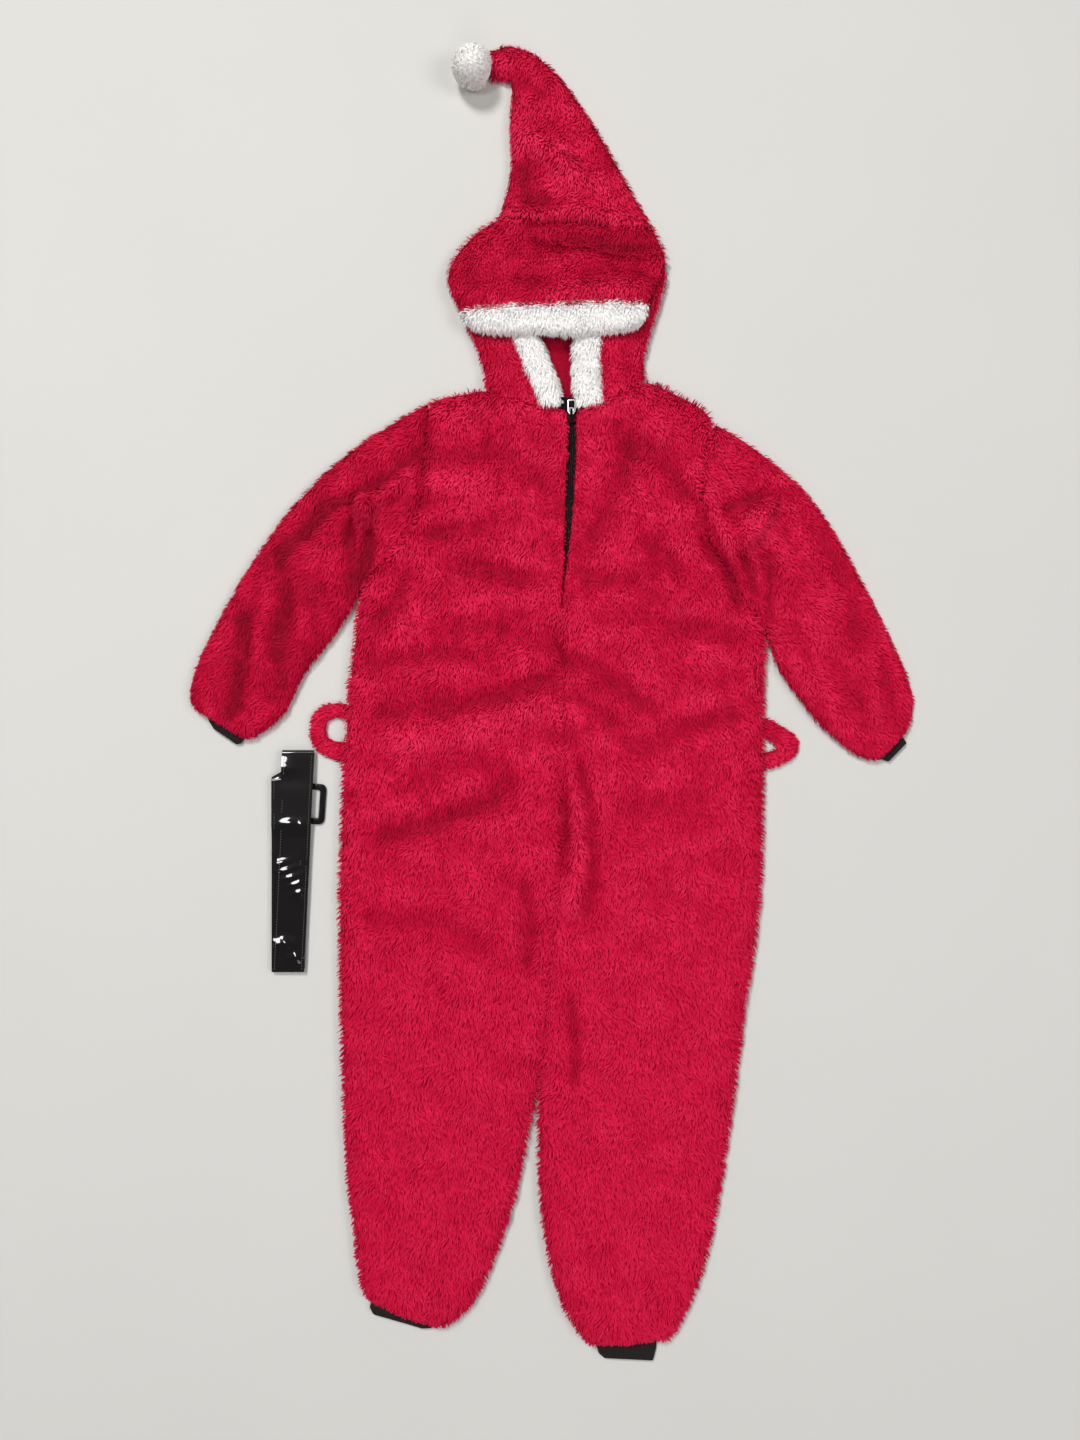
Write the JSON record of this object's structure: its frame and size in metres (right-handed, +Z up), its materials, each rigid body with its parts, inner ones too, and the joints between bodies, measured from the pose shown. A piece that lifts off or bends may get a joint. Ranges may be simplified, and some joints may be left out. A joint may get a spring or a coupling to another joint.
{
  "type": "hooded father christmas jumpsuit costume with belt",
  "caption": "Hooded stocking-cap jumpsuit in red plush with white fur trims, laid flat on its back with its belt beside it.",
  "frame": {"origin": "On the surface that the garment lies on, under the middle of everything that lies there, belt and pompom included.", "axes": "+Y from the ankles towards the tip of the hat, +Z up from the surface, +X across the garment from the side with the belt to the other side."},
  "size_m": [1.099, 2.0028, 0.0555],
  "materials": {
    "red_pile": "long-pile knitted plush with a soft sheen",
    "white_fur": "matted long fur",
    "black_rib": "matt rib knit",
    "zip_tape": "woven tape with a coil",
    "zip_hardware": "glossy black enamel",
    "patent_strap": "glossy patent with a stitched edge",
    "buckle_black": "polished moulded frame"
  },
  "bodies": {
    "suit": {"front_left": "red_pile", "front_right": "red_pile", "back_left": "red_pile", "back_right": "red_pile", "sleeve_left": "red_pile", "sleeve_right": "red_pile", "hood_back": "red_pile", "hood_left": "red_pile", "hood_right": "red_pile", "hood_crown": "red_pile", "hat_cone": "red_pile", "belt_loop_left": "red_pile", "belt_loop_right": "red_pile", "trim_brow": "white_fur", "trim_left": "white_fur", "trim_right": "white_fur", "pompom": "white_fur", "wrist_cuff_left": "black_rib", "wrist_cuff_right": "black_rib", "ankle_cuff_left": "black_rib", "ankle_cuff_right": "black_rib", "zip_tape_left": "zip_tape", "zip_tape_right": "zip_tape", "zip_slider": "zip_hardware", "belt_strap": "patent_strap", "belt_buckle": "buckle_black"},
    "pull": {"zip_pull": "zip_hardware"}
  },
  "joints": [
    {"name": "pull_hinge", "type": "hinge", "parent": "suit", "child": "pull", "pos_m": [0.0297, 0.4369, 0.0257], "axis": [1, 0, 0], "range_deg": [0, 150]}
  ]
}
